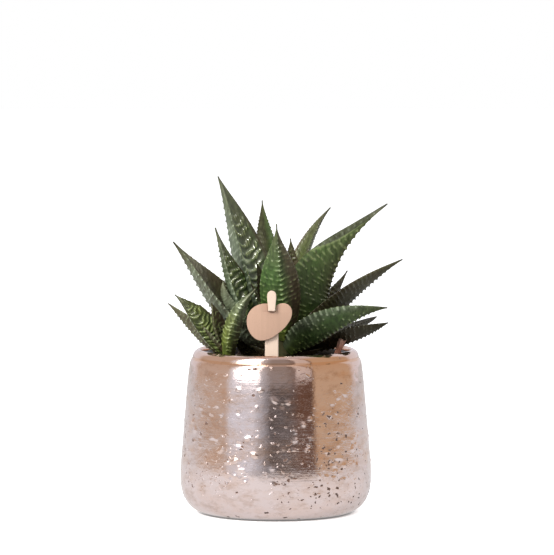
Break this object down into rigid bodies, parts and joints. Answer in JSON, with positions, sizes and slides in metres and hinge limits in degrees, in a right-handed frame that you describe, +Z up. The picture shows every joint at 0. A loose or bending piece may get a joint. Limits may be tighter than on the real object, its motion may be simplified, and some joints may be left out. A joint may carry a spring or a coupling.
{
  "type": "potted haworthia",
  "caption": "Small succulent rosette with ridged, pointed leaves and a side offset, in a round glazed pot with a plain wooden plant tag.",
  "frame": {"origin": "centre of the pot's flat foot, on the surface it stands on", "axes": "+Z up along the pot's axis, -Y towards the viewer and the plant tag, +X to the viewer's right"},
  "size_m": [0.1357, 0.1112, 0.1942],
  "materials": {
    "glaze": "lustre glaze, champagne silver with a rose-copper tint",
    "plastic": "satin black",
    "compost": "crumbly and matt",
    "stem": "dull green-brown",
    "leaf": "waxy, with pale glossy cross ridges",
    "offset_leaf": "waxy, with pale glossy cross ridges",
    "dry": "dry and matt",
    "birch": "bare, sanded"
  },
  "bodies": {
    "root": {"pot": "glaze", "grow_pot": "plastic", "stem_main": "stem", "stem_offset": "stem", "dried_stalk": "dry", "tag_stick": "birch", "tag_disc": "birch", "soil": "compost", "leaf_front_centre": "leaf", "leaf_tall_left": "leaf", "leaf_big_right": "leaf", "leaf_mid_left": "leaf", "leaf_back_centre": "leaf", "leaf_back_right": "leaf", "leaf_left": "leaf", "leaf_right": "leaf", "leaf_front_right": "leaf", "leaf_low_right": "leaf", "leaf_front_left": "leaf", "leaf_heart_right": "leaf", "leaf_heart_left": "leaf", "leaf_right_behind": "leaf", "leaf_low_right_behind": "leaf", "leaf_rear_centre": "leaf", "leaf_rear_left": "leaf", "leaf_rear_right": "leaf", "leaf_rear_far_right": "leaf", "leaf_rear_low_left": "leaf", "offset_leaf_front": "offset_leaf", "offset_leaf_left": "offset_leaf", "offset_leaf_lowest": "offset_leaf", "offset_leaf_upright": "offset_leaf", "offset_leaf_inner": "offset_leaf"}
  },
  "joints": []
}
